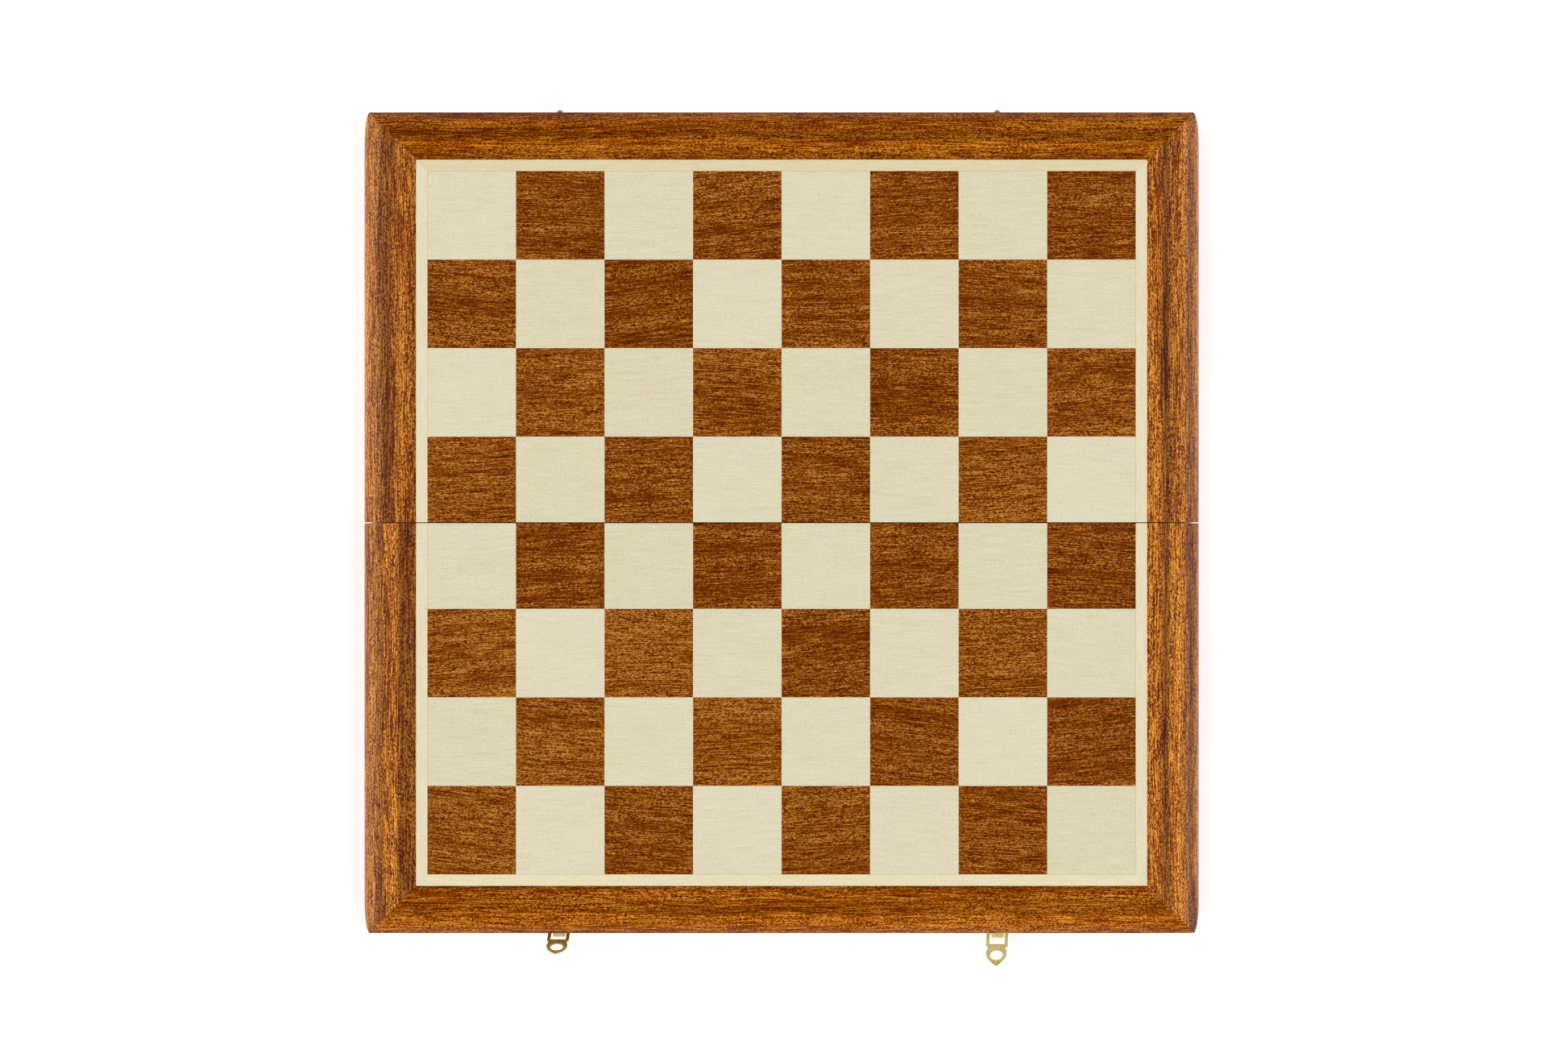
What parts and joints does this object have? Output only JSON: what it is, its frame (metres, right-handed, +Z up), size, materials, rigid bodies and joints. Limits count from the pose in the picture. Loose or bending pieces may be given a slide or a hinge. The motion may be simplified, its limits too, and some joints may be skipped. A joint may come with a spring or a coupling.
{
  "type": "folding chess board case",
  "caption": "Folding wooden chess board, open and flat, that shuts into a felt-lined case for its men, with mortised butt hinges, brass hasps and posts.",
  "frame": {"origin": "middle of the seam between the two halves, on the plane of the rims the open board lies on, at the near half's seam wall", "axes": "+Z up out of the playing surface; +X along the seam, with the light square in the near half's corner on the +X side; +Y from the near half with the hasps to the far half with the posts"},
  "size_m": [0.5238, 0.5421, 0.036],
  "materials": {
    "frame_wood": "satin varnish",
    "wall_wood": "satin varnish",
    "dark_veneer": "satin varnish",
    "light_veneer": "satin varnish",
    "strip_veneer": "satin varnish",
    "plywood": "sealed birch plywood",
    "felt": "green felt",
    "brass": "polished, slightly dull",
    "hasp_brass": "polished, slightly dull",
    "screw_brass": "satin"
  },
  "bodies": {
    "near_half": {"near_front_rail": "frame_wood", "near_left_rail": "frame_wood", "near_right_rail": "frame_wood", "near_seam_wall": "wall_wood", "near_panel": "plywood", "near_dark_squares": "dark_veneer", "near_light_squares": "light_veneer", "near_end_strip": "strip_veneer", "near_left_strip": "strip_veneer", "near_right_strip": "strip_veneer", "near_felt_lining": "felt", "near_long_divider": "plywood", "near_cross_dividers": "plywood", "left_hinge_near_leaf": "brass", "left_hinge_pin": "brass", "right_hinge_near_leaf": "brass", "right_hinge_pin": "brass", "near_hinge_screws": "screw_brass", "left_hasp_strap": "brass", "right_hasp_strap": "brass", "hasp_screws": "screw_brass"},
    "far_half": {"far_back_rail": "frame_wood", "far_left_rail": "frame_wood", "far_right_rail": "frame_wood", "far_seam_wall": "wall_wood", "far_panel": "plywood", "far_dark_squares": "dark_veneer", "far_light_squares": "light_veneer", "far_end_strip": "strip_veneer", "far_left_strip": "strip_veneer", "far_right_strip": "strip_veneer", "far_felt_lining": "felt", "far_long_divider": "plywood", "far_cross_dividers": "plywood", "left_hinge_far_leaf": "brass", "right_hinge_far_leaf": "brass", "far_hinge_screws": "screw_brass", "left_latch_post": "brass", "right_latch_post": "brass"},
    "left_hasp": {"left_hasp": "hasp_brass"},
    "right_hasp": {"right_hasp": "brass"}
  },
  "joints": [
    {"name": "board_fold", "type": "hinge", "parent": "near_half", "child": "far_half", "pos_m": [0, 0, -0.0001], "axis": [-1, 0, 0], "range_deg": [0, 180]},
    {"name": "left_hasp_swing", "type": "hinge", "parent": "near_half", "child": "left_hasp", "pos_m": [-0.14, -0.25745, 0.011], "axis": [1, 0, 0], "range_deg": [-23, 157]},
    {"name": "right_hasp_swing", "type": "hinge", "parent": "near_half", "child": "right_hasp", "pos_m": [0.136, -0.25815, 0.011], "axis": [1, 0, 0], "range_deg": [-116, 64]}
  ]
}
